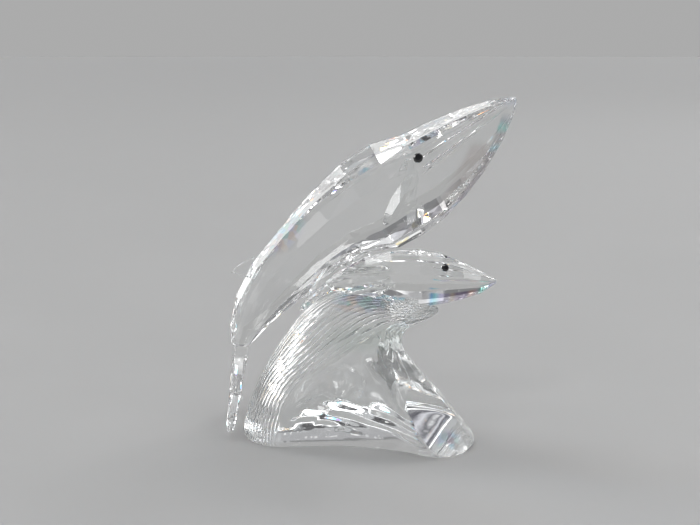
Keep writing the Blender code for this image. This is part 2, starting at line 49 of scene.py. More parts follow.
# Wave stations from the underside to the lip, in millimetres: back (x, z) and hollow side (x, z)
# of the section, share and y of the rolled front edge, y of the hollow, share and y of the foot,
# y of the rear, y shift
WAVE_STATIONS = (
    ((-46.4, 0.0), (53.0, 0.0), 0.16, 16.0, 14.8, 0.82, 28.0, 25.4, 0.0),
    ((-47.3, 3.4), (54.2, 3.2), 0.16, 16.8, 15.4, 0.82, 29.2, 26.4, 0.0),
    ((-46.2, 9.6), (49.8, 8.8), 0.17, 16.6, 15.2, 0.80, 27.4, 26.0, 0.0),
    ((-44.4, 15.4), (44.8, 15.2), 0.185, 16.6, 12.4, 0.79, 24.4, 25.0, 0.0),
    ((-41.8, 21.8), (39.6, 21.4), 0.2, 17.0, 6.6, 0.78, 20.4, 23.6, 0.0),
    ((-38.0, 30.2), (32.0, 29.4), 0.26, 17.6, 4.4, 0.80, 14.4, 21.8, 0.0),
    ((-33.0, 38.6), (26.6, 35.8), 0.37, 18.0, 4.0, 0.84, 10.2, 20.6, 0.0),
    ((-27.0, 47.6), (23.4, 40.6), 0.5, 18.0, 5.0, 0.88, 8.0, 20.0, 0.0),
    ((-19.6, 56.6), (22.7, 44.2), 0.62, 17.0, 7.0, 0.9, 6.6, 19.4, 0.0),
    ((-11.0, 62.8), (23.4, 47.2), 0.68, 15.4, 7.8, 0.92, 5.6, 18.2, 0.0),
    ((-1.4, 66.0), (25.0, 49.8), 0.72, 13.2, 7.4, 0.93, 4.8, 16.4, -1.0),
    ((9.4, 66.2), (27.4, 51.6), 0.74, 11.0, 6.6, 0.93, 4.0, 14.0, -2.6),
    ((19.6, 64.2), (30.2, 53.2), 0.74, 8.4, 5.4, 0.93, 3.2, 11.0, -4.6),
    ((29.4, 61.9), (33.6, 55.2), 0.72, 5.6, 3.8, 0.92, 2.2, 7.0, -6.4),
    ((37.8, 60.4), (37.4, 58.0), 0.7, 2.2, 1.6, 0.9, 1.0, 2.4, -7.6),
)
BAND_TURNS = (0, 18, 36, 54, 72, 90)
# Across the hollow: place between the front edge and the foot, then shares of the y of the edge,
# the hollow and the foot
HOLLOW_POINTS = ((0.15, 0.35, 0.65, 0.0), (0.45, 0.0, 1.0, 0.0), (0.8, 0.0, 0.55, 0.45))
# Round the foot: place between the foot's side and the far end, then share of the foot's y
FOOT_POINTS = ((0.0, 1.0), (0.58, 0.9), (0.91, 0.62), (1.0, 0.25))
# Round the rear: share of the section's width, then share of the rear's y
REAR_POINTS = (
    (0.955, 0.42), (0.83, 0.8), (0.62, 1.0), (0.4, 1.0), (0.21, 0.88), (0.085, 0.62), (0.02, 0.32),
)
RIBS_PER_SIDE = 14
RIBBED_SHARE = 0.25
RIB_DEPTH_SHARE = 0.42
RIB_DEPTH_MOST = 0.7 * MM
REAR_RIB_SHARE = 0.15
# Boss under the mother, in millimetres: height, x and y of its middle, half its length and depth
BOSS_RINGS = (
    (48.0, -6.0, 7.0, 15.0, 10.0),
    (55.0, -8.0, 9.0, 12.5, 9.0),
    (61.0, -9.4, 10.6, 10.0, 8.0),
    (67.0, -9.6, 11.6, 8.0, 7.0),
    (75.0, -7.5, 12.0, 6.5, 6.0),
)
BOSS_ROWS = 25
WINDOW_DEEPEST = (36.7 * MM, -20.1 * MM, 12.4 * MM)
WINDOW_NORMAL = (0.431, -0.699, 0.57)
WINDOW_ALONG = (0.822, 0.044, -0.568)
WHEEL_RADIUS = 900.0 * MM
WHEEL_HALF_TRACK = 19.0 * MM
WHEEL_HALF_WIDTH = 16.0 * MM
WHEEL_LIFT = 9.0 * MM
WHEEL_STEPS = 24
FOLD_HEIGHT = 0.8 * MM
LEDGE_HEIGHT = 0.7 * MM
# Folds of the hollow: middle and spread as shares round the loop, first and last station with the
# stations over which they fade, count round the loop and lean per station
HOLLOW_MIDDLE, HOLLOW_SPREAD = 0.37, 0.075
FOLDS_FROM, FOLDS_TO = 1.2, 11.5
FOLDS_FADE_IN, FOLDS_FADE_OUT = 2.0, 3.0
FOLDS_ROUND, FOLD_LEAN = 16, 0.42
# Sway of the folds as they rise: share of a fold, pace per station and start
FOLD_SWAY = ((0.35, 1.1, 4.0), (0.2, 2.3, 0.0))
# Ledge: shares round the loop where it lies and fades, its station, how far it bows, half its width
# in stations, and the start and the pace of its bow round the loop
LEDGE_FROM, LEDGE_TO, LEDGE_FADE = 0.27, 0.43, 0.03
LEDGE_STATION, LEDGE_BOW, LEDGE_HALF_WIDTH = 2.6, 0.5, 0.22
LEDGE_BOW_FROM, LEDGE_BOW_PACE = 0.3, 14
# Knot where a fold meets the ledge: share round the loop and station, and half its size in both
KNOT_AT, KNOT_SIZE = (0.377, 2.8), (0.012, 0.5)
BOND_GAP = 0.3 * MM
WELD_DISTANCE = 0.005 * MM
# Beads of the casting that curl through the hollow, in millimetres: height, then points (x, z)
CAST_BEADS = (
    (0.7, ((-13.1, 28.4), (-10.0, 32.0), (-5.7, 33.4), (-1.3, 31.8), (1.3, 28.9), (0.0, 25.8))),
    (0.6, ((14.7, 33.9), (17.6, 33.6), (19.3, 31.0), (18.8, 28.4))),
    (0.7, (
        (-21.0, 31.0), (-16.1, 38.7), (-10.6, 44.0), (-3.0, 48.4), (6.3, 51.7), (14.8, 54.3),
        (20.4, 57.0),
    )),
    (0.6, ((-25.0, 15.8), (-19.9, 18.2), (-13.9, 20.1), (-8.3, 20.0), (-5.2, 18.4))),
    (0.5, ((-18.1, 8.6), (-13.8, 11.4), (-8.2, 11.8), (-3.9, 9.8), (-6.9, 7.0))),
)
BEAD_HALF_WIDTH = 0.85 * MM
BEAD_STEPS = 48

ROWS_PER_STATION = 13
STEPS_PER_RIB = 8
PLAIN_STEPS = 80
BOSS_SIDES = 64
SMOOTH_UNDER_DEGREES = 40


def two_slots(mesh):
    """Two empty material slots: one for cast skin, one for ground and cut faces."""
    mesh.materials.append(None)
    mesh.materials.append(None)


def new_mesh(name, bm):
    mesh = bpy.data.meshes.new(name)
    bm.to_mesh(mesh)
    bm.free()
    return mesh


def loft(name, rings):
    """Closed skin through rings of equally many points, flat on both ends."""
    bm = bmesh.new()
    rows = [[bm.verts.new(point) for point in ring] for ring in rings]
    sides = len(rows[0])
    for lower, upper in zip(rows, rows[1:]):
        for i in range(sides):
            j = (i + 1) % sides
            bm.faces.new((lower[i], lower[j], upper[j], upper[i]))
    bm.faces.new(reversed(rows[0]))
    bm.faces.new(rows[-1])
    bmesh.ops.recalc_face_normals(bm, faces=bm.faces)
    return new_mesh(name, bm)


def through_points(values, steps, closed):
    """Catmull-Rom spline through rows of points, read at the given steps, which count in rows."""
    count = len(values)
    low = np.floor(steps).astype(int)
    share = (steps - low).reshape(-1, *[1] * (values.ndim - 1))

    def row(index):
        if closed:
            return values[index % count]
        inside = values[np.clip(index, 0, count - 1)]
        before = (index < 0).reshape(share.shape)
        after = (index > count - 1).reshape(share.shape)
        start = 2 * values[0] - values[1]
        end = 2 * values[-1] - values[-2]
        return np.where(before, start, np.where(after, end, inside))

    p0, p1, p2, p3 = row(low - 1), row(low), row(low + 1), row(low + 2)
    return 0.5 * (
        2 * p1
        + (p2 - p0) * share
        + (2 * p0 - 5 * p1 + 4 * p2 - p3) * share**2
        + (3 * p1 - p0 - 3 * p2 + p3) * share**3
    )


def wave_section(edge, edge_y, hollow_y, foot, foot_y, rear_y):
    """Loop of (share, y): from the back past the front edge, the hollow and the foot to the rear"""
    turns = [math.radians(turn) for turn in BAND_TURNS]
    band = [(edge * (1 - math.cos(turn)), -edge_y * math.sin(turn)) for turn in turns]
    hollow = [
        (edge + place * (foot - edge), -of_edge * edge_y - of_hollow * hollow_y - of_foot * foot_y)
        for place, of_edge, of_hollow, of_foot in HOLLOW_POINTS
    ]
    lobe = [(foot + place * (1 - foot), -part * foot_y) for place, part in FOOT_POINTS]
    return band + hollow + lobe + [(share, rear_y * part) for share, part in REAR_POINTS]


def wave_cage():
    """Rows of section points from the underside of the wave to its lip."""
    cage = []
    for outer, inner, *section, shift in WAVE_STATIONS:
        outer, inner = np.array(outer), np.array(inner)
        row = []
        for share, y in wave_section(*section):
            x, z = outer + (inner - outer) * share
            row.append((x * MM, (y + shift) * MM, z * MM))
        cage.append(row)
    return np.array(cage)


def rib_groove(shares):
    """Grooves between the rounded ribs, round the loop: 0 on a rib's crest, 1 in a groove."""
    from_back = np.minimum(shares, 1 - shares) / RIBBED_SHARE
    groove = 1 - np.abs(np.cos(np.pi * from_back * RIBS_PER_SIDE))
    fade = np.clip((1.0 - from_back) * RIBS_PER_SIDE, 0, 1)
    fade = fade * np.where(shares > 0.5, REAR_RIB_SHARE, 1.0)
    return np.where(from_back < 1, groove * fade, 0.0)


def cast_folds(shares, along):
    """Soft folds in the hollow and on the ledge, in metres: they flow up towards the lip."""
    share, station = shares[None, :], along[:, None]
    in_hollow = np.exp(-(((share - HOLLOW_MIDDLE) / HOLLOW_SPREAD) ** 2))
    in_hollow = in_hollow * np.clip((station - FOLDS_FROM) / FOLDS_FADE_IN, 0, 1)
    in_hollow = in_hollow * np.clip((FOLDS_TO - station) / FOLDS_FADE_OUT, 0, 1)
    sway = sum(size * np.sin(pace * station + start) for size, pace, start in FOLD_SWAY)
    turns = share * FOLDS_ROUND + FOLD_LEAN * station + sway
    folds = FOLD_HEIGHT * in_hollow * np.sin(2 * np.pi * turns)
    middle = LEDGE_STATION + LEDGE_BOW * np.sin((share - LEDGE_BOW_FROM) * LEDGE_BOW_PACE)
    on_ledge = np.clip((share - LEDGE_FROM) / LEDGE_FADE, 0, 1)
    on_ledge = on_ledge * np.clip((LEDGE_TO - share) / LEDGE_FADE, 0, 1)
    ledge = LEDGE_HEIGHT * on_ledge * np.exp(-(((station - middle) / LEDGE_HALF_WIDTH) ** 2))
    across = (share - KNOT_AT[0]) / KNOT_SIZE[0]
    up = (station - KNOT_AT[1]) / KNOT_SIZE[1]
    return folds + ledge + LEDGE_HEIGHT * np.exp(-(across**2) - up**2)


def cast_beads(grid, shares):
    """Beads of the casting on the near side, in metres: each fades out towards both ends."""
    high = np.zeros(grid.shape[:2])
    for height, points in CAST_BEADS:
        points = np.array(points) * MM
        path = through_points(points, np.linspace(0, len(points) - 1, BEAD_STEPS), closed=False)
        away = np.linalg.norm(grid[:, :, None, [0, 2]] - path, axis=3)
        ends = np.sin(np.pi * (away.argmin(axis=2) + 0.5) / BEAD_STEPS) ** 0.5
        bead = height * MM * ends * np.exp(-((away.min(axis=2) / BEAD_HALF_WIDTH) ** 2))
        high = np.maximum(high, bead)
    return high * (shares < 0.5)


def wave_loop_steps():
    """Steps round the loop, as shares from the back: close over the ribs, wider elsewhere."""
    near = np.linspace(0, RIBBED_SHARE, RIBS_PER_SIDE * STEPS_PER_RIB + 1)
    near_plain = np.linspace(RIBBED_SHARE, 0.5, PLAIN_STEPS + 1)[1:]
    half = np.concatenate([near, near_plain])
    return np.concatenate([half, 1 - half[-2:0:-1]])


def wave_skin():
    """Closed skin of the wave, with the ribs cut into it and the folds and beads raised on it."""
    cage = wave_cage()
    along = np.linspace(0, len(cage) - 1, (len(cage) - 1) * ROWS_PER_STATION + 1)
    shares = wave_loop_steps()
    loop = through_points(np.swapaxes(cage, 0, 1), shares * cage.shape[1], closed=True)
    grid = through_points(np.swapaxes(loop, 0, 1), along, closed=False)
    grid[0, :, 2] = 0.0
    around = np.roll(grid, -1, axis=1) - np.roll(grid, 1, axis=1)
    normal = np.cross(around, np.gradient(grid, axis=0))
    normal /= np.linalg.norm(normal, axis=2, keepdims=True)
    from_centre = grid - grid.mean(axis=1, keepdims=True)
    normal *= np.sign((from_centre * normal).sum(axis=2).mean())
    rib_spacing = np.linalg.norm(around, axis=2) * STEPS_PER_RIB / 2
    depth = np.minimum(rib_spacing * RIB_DEPTH_SHARE, RIB_DEPTH_MOST) * rib_groove(shares)[None, :]
    depth = depth * np.clip(along, 0, 1)[:, None]
    depth = depth - cast_folds(shares, along) - cast_beads(grid, shares)
    grid = grid - normal * depth[:, :, None]
    grid[0, :, 2] = 0.0
    return loft("wave", [[Vector(p) for p in ring] for ring in grid])


def boss_skin():
    """Boss under the mother: ellipses from inside the crest up into her belly."""
    turns = np.linspace(0, 2 * math.pi, BOSS_SIDES, endpoint=False)
    rings = np.array(BOSS_RINGS)
    rings = through_points(rings, np.linspace(0, len(rings) - 1, BOSS_ROWS), closed=False)
    return loft("boss", [[Vector((x + a * math.cos(t), y + b * math.sin(t), z)) * MM for t in turns]
                         for z, x, y, a, b in rings])


def wheel_track():
    """Track of the grinding wheel that leaves the oval window on the foot."""
    normal, along = Vector(WINDOW_NORMAL).normalized(), Vector(WINDOW_ALONG)
    along = (along - normal * along.dot(normal)).normalized()
    across = along.cross(normal) * WHEEL_HALF_WIDTH
    reach = math.asin(WHEEL_HALF_TRACK / WHEEL_RADIUS)
    track = []
    for turn in np.linspace(-reach, reach, WHEEL_STEPS + 1):
        dish = along * math.sin(turn) + normal * (1 - math.cos(turn))
        track.append(Vector(WINDOW_DEEPEST) + dish * WHEEL_RADIUS)
    track += [track[-1] + normal * WHEEL_LIFT, track[0] + normal * WHEEL_LIFT]
    return loft("wheel_track", [[point + end for point in track] for end in (across, -across)])


def seat_of(node):
    """Welded copy of a bonded neighbour, grown by the bond line."""
    bm = bmesh.new()
    bm.from_mesh(NODES[node].data)
    bmesh.ops.remove_doubles(bm, verts=bm.verts, dist=WELD_DISTANCE)
    bm.normal_update()
    places = [v.co + v.normal * BOND_GAP * v.calc_shell_factor() for v in bm.verts]
    for vertex, place in zip(bm.verts, places):
        vertex.co = place
    return new_mesh(f"{node}_seat", bm)


def cut_with(piece, mesh, operation):
    """Joins or cuts a piece with a mesh. The mesh's faces get a material index of their own."""
    two_slots(mesh)
    for face in mesh.polygons:
        face.material_index = 1
    tool = bpy.data.objects.new(mesh.name, mesh)
    bpy.context.scene.collection.objects.link(tool)
    cut = piece.modifiers.new(mesh.name, "BOOLEAN")
    cut.operation = operation
    cut.object = tool
    graph = bpy.context.evaluated_depsgraph_get()
    done = bpy.data.meshes.new_from_object(piece.evaluated_get(graph))
    piece.modifiers.clear()
    piece.data = done
    bpy.data.objects.remove(tool)


def crisp_rims(mesh):
    """Sharp edges where a ground or cut face meets the cast skin."""
    bm = bmesh.new()
    bm.from_mesh(mesh)
    for edge in bm.edges:
        if len({face.material_index for face in edge.link_faces}) > 1:
            edge.smooth = False
    for face in bm.faces:
        face.material_index = 0
    bm.to_mesh(mesh)
    bm.free()


def make_wave():
    """The cast wave with its boss, the ground window and the seats of what is bonded to it."""
    skin = wave_skin()
    two_slots(skin)
    wave = bpy.data.objects.new("wave_crystal", skin)
    bpy.context.scene.collection.objects.link(wave)
    cut_with(wave, boss_skin(), "UNION")
    cut_with(wave, wheel_track(), "DIFFERENCE")
    for node in ("mother_body", "calf_body", "calf_flukes"):
        cut_with(wave, seat_of(node), "DIFFERENCE")
    wave.data.shade_smooth()
    wave.data.set_sharp_from_angle(angle=math.radians(SMOOTH_UNDER_DEGREES))
    crisp_rims(wave.data)
    wave.data.materials.clear()
    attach(wave, "root")
    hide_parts("wave_base")
    return wave


class Value:
    """Number or vector that changes over a surface. Arithmetic on it adds Math nodes."""

    def __init__(self, nodes, socket):
        self.nodes, self.socket = nodes, socket

    def _with(self, operation, *values):
        settings = {"operation": operation}
        return self.nodes.add("ShaderNodeMath", settings, dict(enumerate(values)))["Value"]

    def __add__(self, other):
        return self._with("ADD", self, other)

    __radd__ = __add__

    def __sub__(self, other):
        return self._with("SUBTRACT", self, other)

    def __rsub__(self, other):
        return self._with("SUBTRACT", other, self)

    def __mul__(self, other):
        return self._with("MULTIPLY", self, other)

    __rmul__ = __mul__

    def __truediv__(self, other):
        return self._with("DIVIDE", self, other)

    def __rtruediv__(self, other):
        return self._with("DIVIDE", other, self)

    def __pow__(self, other):
        return self._with("POWER", self, other)

    def __abs__(self):
        return self._with("ABSOLUTE", self)

    def __gt__(self, other):
        return self._with("GREATER_THAN", self, other)

    def __lt__(self, other):
        return self._with("LESS_THAN", self, other)

    def at_least(self, other):
        return self._with("MAXIMUM", self, other)

    def at_most(self, other):
        return self._with("MINIMUM", self, other)

    def clamped(self):
        return self.at_least(0.0).at_most(1.0)


class Nodes:
    """A node tree being filled."""

    def __init__(self, tree):
        self.tree = tree

    def add(self, kind, settings=None, inputs=None):
        """Adds a node, settings first, then sockets. Returns its enabled outputs by name."""
        node = self.tree.nodes.new(kind)
        for name, value in (settings or {}).items():
            if name == "stops":
                ramp = node.color_ramp
                while len(ramp.elements) < len(value):
                    ramp.elements.new(1.0)
                for element, (place, colour) in zip(ramp.elements, value):
                    element.position = place
                    element.color = (*colour, 1.0)
            elif name == "blend":
                node.color_ramp.interpolation = value
            else:
                setattr(node, name, value)
        sockets = {}
        for index, socket in enumerate(node.inputs):
            sockets[index] = socket
            if socket.enabled:
                sockets.setdefault(socket.name, socket)
        for name, value in (inputs or {}).items():
            self.feed(sockets[name], value)
        return {out.name: Value(self, out) for out in node.outputs if out.enabled}

    def feed(self, socket, value):
        if isinstance(value, Value):
            self.tree.links.new(value.socket, socket)
        else:
            socket.default_value = value

    def vector(self, operation, *values):
        """Vector Math on vectors, or on a vector and its scale."""
        settings = {"operation": operation}
        names = (0, "Scale") if operation == "SCALE" else range(len(values))
        outputs = self.add("ShaderNodeVectorMath", settings, dict(zip(names, values)))
        return outputs["Value" if operation in ("DOT_PRODUCT", "LENGTH", "DISTANCE") else "Vector"]

    def parts(self, vector):
        """The x, y and z of a vector."""
        outputs = self.add("ShaderNodeSeparateXYZ", {}, {"Vector": vector})
        return outputs["X"], outputs["Y"], outputs["Z"]

    def mix(self, share, one, other, blend="MIX"):
        """Colour mix: one colour where the share is 0, the other where it is 1."""
        settings = {"data_type": "RGBA", "blend_type": blend}
        inputs = {"Factor": share, "A": one, "B": other}
        return self.add("ShaderNodeMix", settings, inputs)["Result"]

    def ramp(self, value, stops, blend="LINEAR"):
        """Colour ramp over a value from 0 to 1."""
        settings = {"blend": blend, "stops": stops}
        return self.add("ShaderNodeValToRGB", settings, {"Fac": value})["Color"]

    def noise(self, place, scale, detail=2.0, roughness=0.5):
        inputs = {"Vector": place, "Scale": scale, "Detail": detail, "Roughness": roughness}
        return self.add("ShaderNodeTexNoise", {}, inputs)["Fac"]


class Finish(Nodes):
    """Material under construction, around its Principled BSDF."""

    def __init__(self, name):
        self.material = bpy.data.materials.new(name)
        self.material.use_nodes = True
        super().__init__(self.material.node_tree)
        self.shader = self.tree.nodes["Principled BSDF"]

    def set(self, **inputs):
        """Sets the Principled BSDF's sockets: Base_Color stands for Base Color."""
        for name, value in inputs.items():
            self.feed(self.shader.inputs[name.replace("_", " ")], value)

    def place(self):
        """Place on the object in millimetres."""
        return self.vector("SCALE", self.add("ShaderNodeTexCoord")["Object"], 1000.0)

    def bump(self, height, strength, distance):
        """Surface relief from a height of 0 to 1, its full rise given in metres."""
        inputs = {"Height": height, "Strength": strength, "Distance": distance}
        return self.add("ShaderNodeBump", {}, inputs)["Normal"]

    def let_lamps_through(self, share, tint):
        """Lamp light passes through the piece in its shadow, as through clear crystal."""
        is_shadow = self.add("ShaderNodeLightPath")["Is Shadow Ray"]
        clear = self.add("ShaderNodeBsdfTransparent", {}, {"Color": (*tint, 1.0)})["BSDF"]
        solid = Value(self, self.shader.outputs[0])
        inputs = {"Fac": is_shadow * share, 1: solid, 2: clear}
        both = self.add("ShaderNodeMixShader", {}, inputs)["Shader"]
        self.feed(self.tree.nodes["Material Output"].inputs["Surface"], both)


def near_spot(finish, place, spot, radii):
    """1 at a spot on the figurine, fading to 0 at the given radii, in millimetres."""
    away = finish.vector("DIVIDE", finish.vector("SUBTRACT", place, spot), radii)
    return (1.0 - finish.vector("LENGTH", away)).at_least(0.0)


# Noises of the finishes: scale per millimetre, detail and roughness
CLOUD = (0.06, 3.0, 0.5)
SMUDGE = (0.35, 4.0, 0.6)
RIPPLE = (0.22, 1.0, 0.5)
FLECK = (1.8, 2.0, 0.5)
FLOOR_GRAIN = (0.01, 5.0, 0.6)

# Painted prism colours and shade along the calf's throat, by their place along X in millimetres
THROAT_START, THROAT_END = 32.0, 62.0
# How fast the band fades in at its top and at its start, per millimetre, and its strength
THROAT_TOP_FADE, THROAT_START_FADE, THROAT_STRENGTH = 2.0, 0.5, 0.9
# Height of the coloured band above the calf's belly line, and how much lower it ends at the snout
THROAT_HEIGHT, THROAT_TAPER = 8.0, 5.5
# Belly line of the calf: lowest height, where it starts to rise, over what length, and by how much
BELLY_LOWEST, BELLY_FROM, BELLY_RUN, BELLY_RISE = 62.0, 31.0, 31.0, 8.4
# Colours of the painted prism band, bright and dark
THROAT_STOPS = (
    (0.0, (0.9, 0.95, 1.0)), (0.06, (0.2, 0.55, 1.0)), (0.12, (0.3, 0.85, 0.95)),
    (0.19, (0.72, 0.7, 1.0)), (0.3, (0.82, 0.74, 1.0)), (0.36, (1.0, 0.8, 0.62)),
    (0.42, (0.42, 0.3, 0.5)), (0.56, (0.3, 0.22, 0.42)), (0.63, (1.0, 0.62, 0.5)),
    (0.7, (0.98, 0.75, 0.85)), (0.76, (0.3, 0.85, 0.75)), (0.84, (0.25, 0.7, 0.6)),
    (0.9, (0.3, 0.25, 0.55)), (1.0, (0.8, 0.85, 1.0)),
)
# Painted dark violet shade with painted prism spots along the rim of the mother's throat, by the
# place along Z in millimetres
RIM_START, RIM_END = 96.0, 146.0
# Edge of the throat in millimetres: its X at the start, its slope on the way up and its bend
RIM_EDGE, RIM_SLOPE, RIM_BEND = 42.8, 45.9, 19.6
RIM_WIDTH, RIM_STRENGTH = 4.4, 0.85
# Painted taupe shade behind the rim: its width, how far below the rim's end it stops, and its fades
PAINTED_TAUPE_SHADE = (0.86, 0.82, 0.81, 1.0)
TAUPE_WIDTH, TAUPE_SHORT = 14.0, 16.0
TAUPE_SIDE_FADE, TAUPE_END_FADE = 0.5, 0.3
# Colours of the painted rim: dark shade with prism spots
RIM_STOPS = (
    (0.0, (0.88, 0.84, 1.0)), (0.08, (0.9, 0.88, 1.0)), (0.12, (0.5, 0.72, 1.0)),
    (0.17, (0.36, 0.3, 0.42)), (0.34, (0.3, 0.26, 0.3)), (0.5, (0.36, 0.34, 0.36)),
    (0.58, (0.4, 0.38, 0.42)), (0.62, (0.35, 0.82, 1.0)), (0.67, (0.45, 0.44, 0.46)),
    (0.74, (0.5, 0.48, 0.52)), (0.79, (0.35, 0.82, 0.76)), (0.85, (0.6, 0.66, 0.72)),
    (0.92, (1.0, 1.0, 1.0)), (1.0, (0.9, 0.92, 1.0)),
)
# Colours of the painted prism glints on the crest, the foot and the mother's back
PAINTED_GLINT_STOPS = (
    (0.0, (0.25, 0.75, 1.0)), (0.2, (0.72, 0.62, 1.0)), (0.36, (0.98, 0.98, 1.0)),
    (0.5, (1.0, 0.72, 0.55)), (0.64, (0.35, 0.3, 0.5)), (0.8, (0.4, 0.95, 0.8)),
    (1.0, (0.6, 0.66, 1.0)),
)
# Cells of one colour each in those spots, and how strongly the painted glints tint the crystal
PRISM_CELLS_PER_MM, PRISM_CELL_SPREAD = 0.34, 0.9
PRISM_GAIN, PRISM_STRENGTH = 2.2, 0.85
# Spots of the painted glints on the figurine, each with its radii, in millimetres
GLINTS_ON_BACK_OF_MOTHER = (((-30.0, 6.0, 92.0), (16.0, 8.0, 14.0)),)
GLINTS_ON_CREST_AND_FOOT = (
    ((4.0, -12.0, 64.0), (16.0, 12.0, 6.0)),
    ((40.0, -20.0, 5.0), (8.0, 8.0, 5.0)),
)
# Painted shade under the crest: its spot and radii in millimetres, its gain, and its greyish green
SHADE_UNDER_CREST, SHADE_UNDER_CREST_GAIN = ((8.0, -10.0, 47.0), (24.0, 16.0, 10.0)), 2.5
PAINTED_SHADE_GREEN = (0.8, 0.86, 0.82, 1.0)
# Tints of the crystal, and the clearest one, which clouds into each of them
CAST_TINT, MOTHER_TINT = (0.955, 0.972, 0.968), (0.965, 0.975, 0.97)
CALF_TINT, FIN_TINT = (0.965, 0.975, 0.965), (0.96, 0.97, 0.968)
CLEAREST = (0.992, 0.996, 0.995, 1.0)
# Lamp light that a piece lets into its own shadow: its tint and its share
SHADOW_TINT, SHADOW_CLEAR_SHARE = (0.97, 0.98, 0.98), 0.25
CRYSTAL_IOR, STONE_IOR = 1.56, 1.8
# Haze that the wheel polish leaves, as roughness, and the ripple of the surface
POLISH_HAZE = 0.06
RIPPLE_STRENGTH, RIPPLE_RISE = 0.25, 0.06 * MM
STONE_BLACK, STONE_FLECK = (0.002, 0.002, 0.003, 1.0), (0.008, 0.008, 0.01, 1.0)
STONE_ROUGHNESS = 0.03


def painted_throat_prism(finish, place, colour):
    """Painted row of prism colours and shade on the calf's lowest facets, along its belly line up
    to the snout.
    """
    x, _, z = finish.parts(place)
    along = ((x - THROAT_START) / (THROAT_END - THROAT_START)).clamped()
    belly = BELLY_LOWEST + ((x - BELLY_FROM) / BELLY_RUN).at_least(0.0) ** 2.0 * BELLY_RISE
    top = belly + THROAT_HEIGHT - along * THROAT_TAPER
    started = ((x - THROAT_START) * THROAT_START_FADE).clamped()
    mask = ((top - z) * THROAT_TOP_FADE).clamped() * started
    prism = finish.ramp(along, THROAT_STOPS)
    return finish.mix(mask * THROAT_STRENGTH, colour, prism, "MULTIPLY")


def painted_rim_shade_and_prism(finish, place, colour):
    """Painted dark shade with painted prism spots along the mother's throat rim, and painted taupe
    shade behind it.
    """
    x, _, z = finish.parts(place)
    along = ((z - RIM_START) / (RIM_END - RIM_START)).clamped()
    edge = RIM_EDGE + along * RIM_SLOPE - along * along * RIM_BEND
    low_end = (z - RIM_START).clamped()
    rim = (x - edge + RIM_WIDTH).clamped() * low_end
    high_end = ((RIM_END - TAUPE_SHORT - z) * TAUPE_END_FADE).clamped()
    throat = ((x - edge + TAUPE_WIDTH) * TAUPE_SIDE_FADE).clamped() * low_end * high_end
    colour = finish.mix(throat, colour, PAINTED_TAUPE_SHADE, "MULTIPLY")
    return finish.mix(rim * RIM_STRENGTH, colour, finish.ramp(along, RIM_STOPS), "MULTIPLY")


def painted_shade_under_crest(finish, place, colour):
    """Painted shade, a greyer green, under the crest."""
    under = (near_spot(finish, place, *SHADE_UNDER_CREST) * SHADE_UNDER_CREST_GAIN).at_most(1.0)
    return finish.mix(under, colour, PAINTED_SHADE_GREEN, "MULTIPLY")


def polished_crystal(name, tint, painted_glint_spots=(), painted_light=None):
    """Clear lead crystal: a faint grey tint, a wheel polish, painted prism glints at the given
    spots, and painted light and shade passed in.
    """
    finish = Finish(name)
    place = finish.place()
    colour = finish.mix(finish.noise(place, *CLOUD), (*tint, 1.0), CLEAREST)
    # Painted prism glints: coloured cells tint the crystal at the given spots
    if painted_glint_spots:
        inputs = {"Vector": place, "Scale": PRISM_CELLS_PER_MM, "Randomness": PRISM_CELL_SPREAD}
        cells = finish.add("ShaderNodeTexVoronoi", {"feature": "F1"}, inputs)["Color"]
        hue = finish.add("ShaderNodeSeparateColor", {}, {"Color": cells})["Red"]
        mask = near_spot(finish, place, *painted_glint_spots[0])
        for glint_spot in painted_glint_spots[1:]:
            mask = mask.at_least(near_spot(finish, place, *glint_spot))
        mask = (mask * PRISM_GAIN).at_most(PRISM_STRENGTH)
        colour = finish.mix(mask, colour, finish.ramp(hue, PAINTED_GLINT_STOPS), "MULTIPLY")
    # Painted light and shade passed in: prism colours and shade on the throats, shade under the
    # crest
    if painted_light:
        colour = painted_light(finish, place, colour)
    smudge = finish.noise(place, *SMUDGE)
    ripple = finish.noise(place, *RIPPLE)
    finish.set(
        Base_Color=colour,
        Roughness=((smudge - 0.5) * POLISH_HAZE).at_least(0.0),
        Normal=finish.bump(ripple, RIPPLE_STRENGTH, RIPPLE_RISE),
        IOR=CRYSTAL_IOR,
        Transmission_Weight=1.0,
    )
    finish.let_lamps_through(SHADOW_CLEAR_SHARE, SHADOW_TINT)
    return finish.material


def black_eye_stone():
    """Glossy black cut stone with a faint fleck."""
    finish = Finish("black_eye_stone")
    fleck = finish.noise(finish.place(), *FLECK)
    finish.set(
        Base_Color=finish.mix(fleck, STONE_BLACK, STONE_FLECK),
        Roughness=STONE_ROUGHNESS + fleck * STONE_ROUGHNESS,
        IOR=STONE_IOR,
    )
    return finish.material


FLOOR_RADIUS, FLOOR_SIDES = 14.0, 96
FLOOR_DROP = 0.05 * MM
FLOOR_TONE, FLOOR_DARKER, FLOOR_PALER = 0.4, 0.95, 1.05
FLOOR_ROUGHNESS, FLOOR_ROUGHNESS_RANGE = 0.5, 0.2
FLOOR_SPECULAR = 0.35


def pale_card():
    """Pale matt card for the floor."""
    finish = Finish("pale_card")
    grain = finish.noise(finish.place(), *FLOOR_GRAIN)
    low, high = FLOOR_TONE * FLOOR_DARKER, FLOOR_TONE * FLOOR_PALER
    finish.set(
        Base_Color=finish.mix(grain, (low, low, low, 1.0), (high, high, high, 1.0)),
        Roughness=FLOOR_ROUGHNESS + grain * FLOOR_ROUGHNESS_RANGE,
        Specular_IOR_Level=FLOOR_SPECULAR,
    )
    return finish.material


